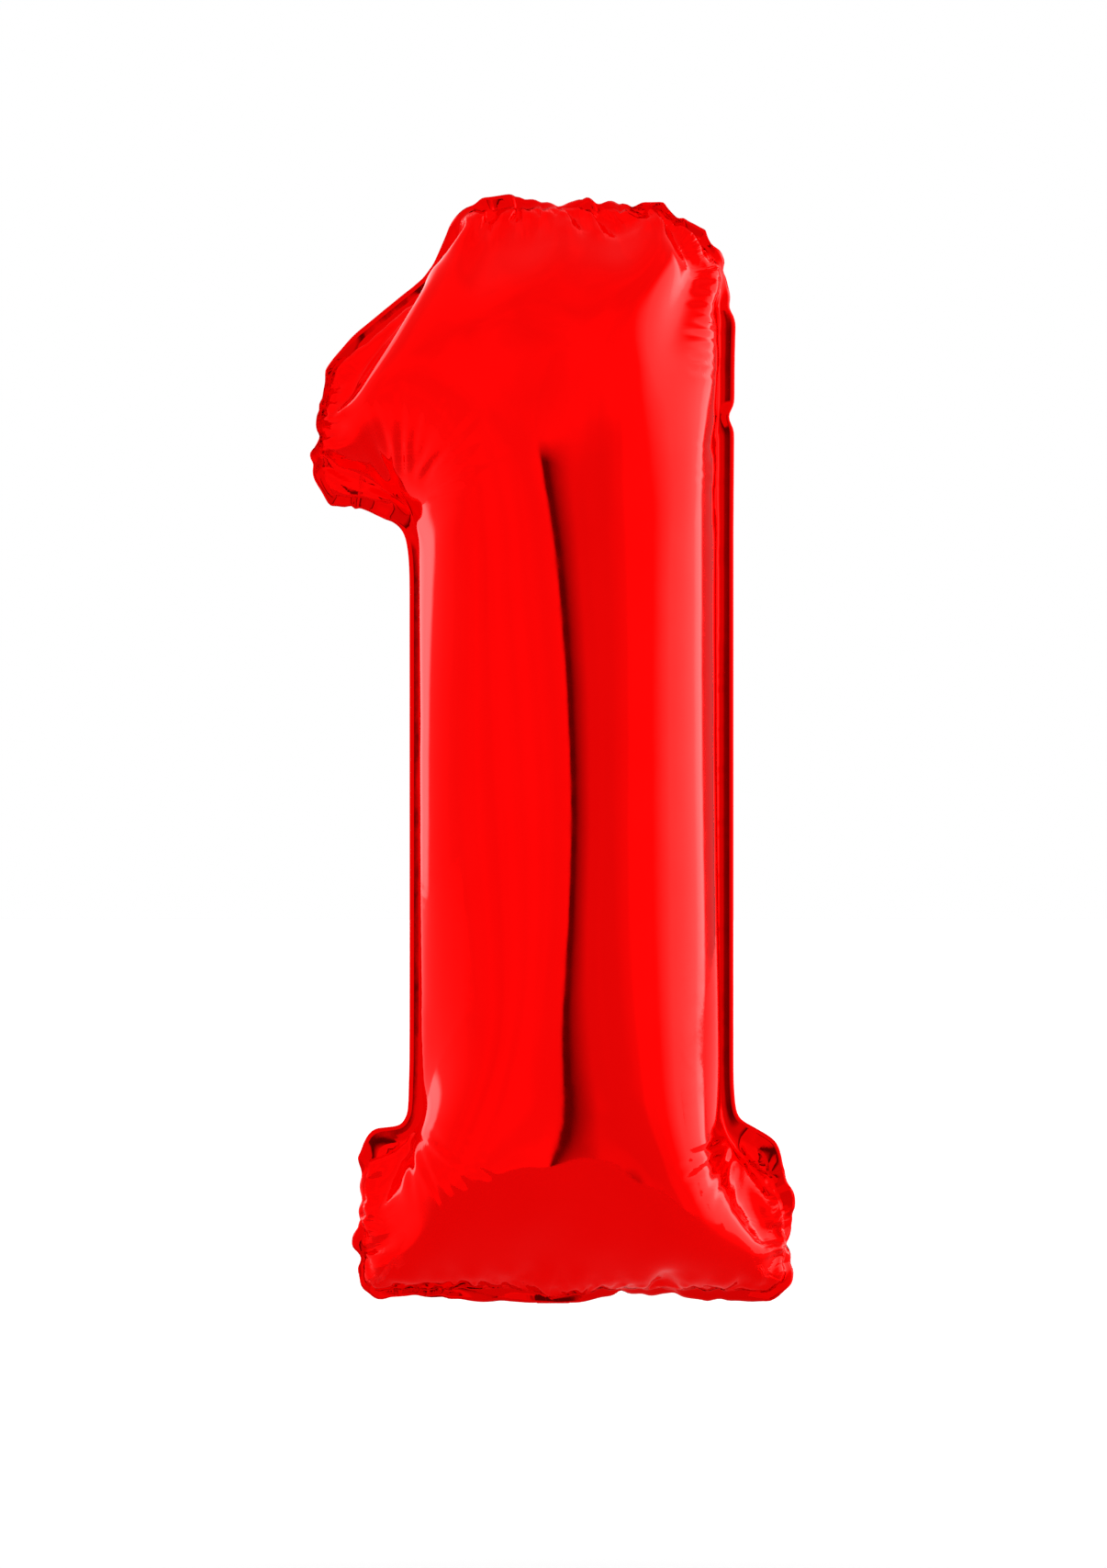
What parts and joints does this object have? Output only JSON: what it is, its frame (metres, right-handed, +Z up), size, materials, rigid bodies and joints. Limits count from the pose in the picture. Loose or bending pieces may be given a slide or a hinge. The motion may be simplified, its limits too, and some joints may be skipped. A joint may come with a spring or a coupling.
{
  "type": "foil number balloon",
  "caption": "Blown-up metallic foil balloon in the shape of a figure one, with a flat heat-sealed edge, a filling neck folded back under the base and a flat self-closing valve inside.",
  "frame": {"origin": "below the middle of the overall box, at the height of the lowest edge of the sealed rim", "axes": "+X to the right as the figure is read, +Y from the front panel towards the back panel, +Z up"},
  "size_m": [0.378, 0.2362, 0.864],
  "materials": {
    "red_foil": "red metallised film, mirror gloss",
    "clear_film": "thin clear polyethylene film, slightly milky"
  },
  "bodies": {
    "envelope": {"front_panel": "red_foil", "back_panel": "red_foil"},
    "neck": {"neck_front_ply": "red_foil", "neck_back_ply": "red_foil", "inlet_front_film": "clear_film", "inlet_back_film": "clear_film"},
    "valve": {"valve_front_film": "clear_film", "valve_back_film": "clear_film"}
  },
  "joints": [
    {"name": "neck_fold", "type": "hinge", "parent": "envelope", "child": "neck", "pos_m": [0, 0, 0.0007], "axis": [1, 0, 0], "range_deg": [-210, 0]},
    {"name": "valve_sway", "type": "hinge", "parent": "envelope", "child": "valve", "pos_m": [0, 0, 0.014], "axis": [1, 0, 0], "range_deg": [-30, 30], "stiffness_Nm_per_rad": 0.0008}
  ]
}
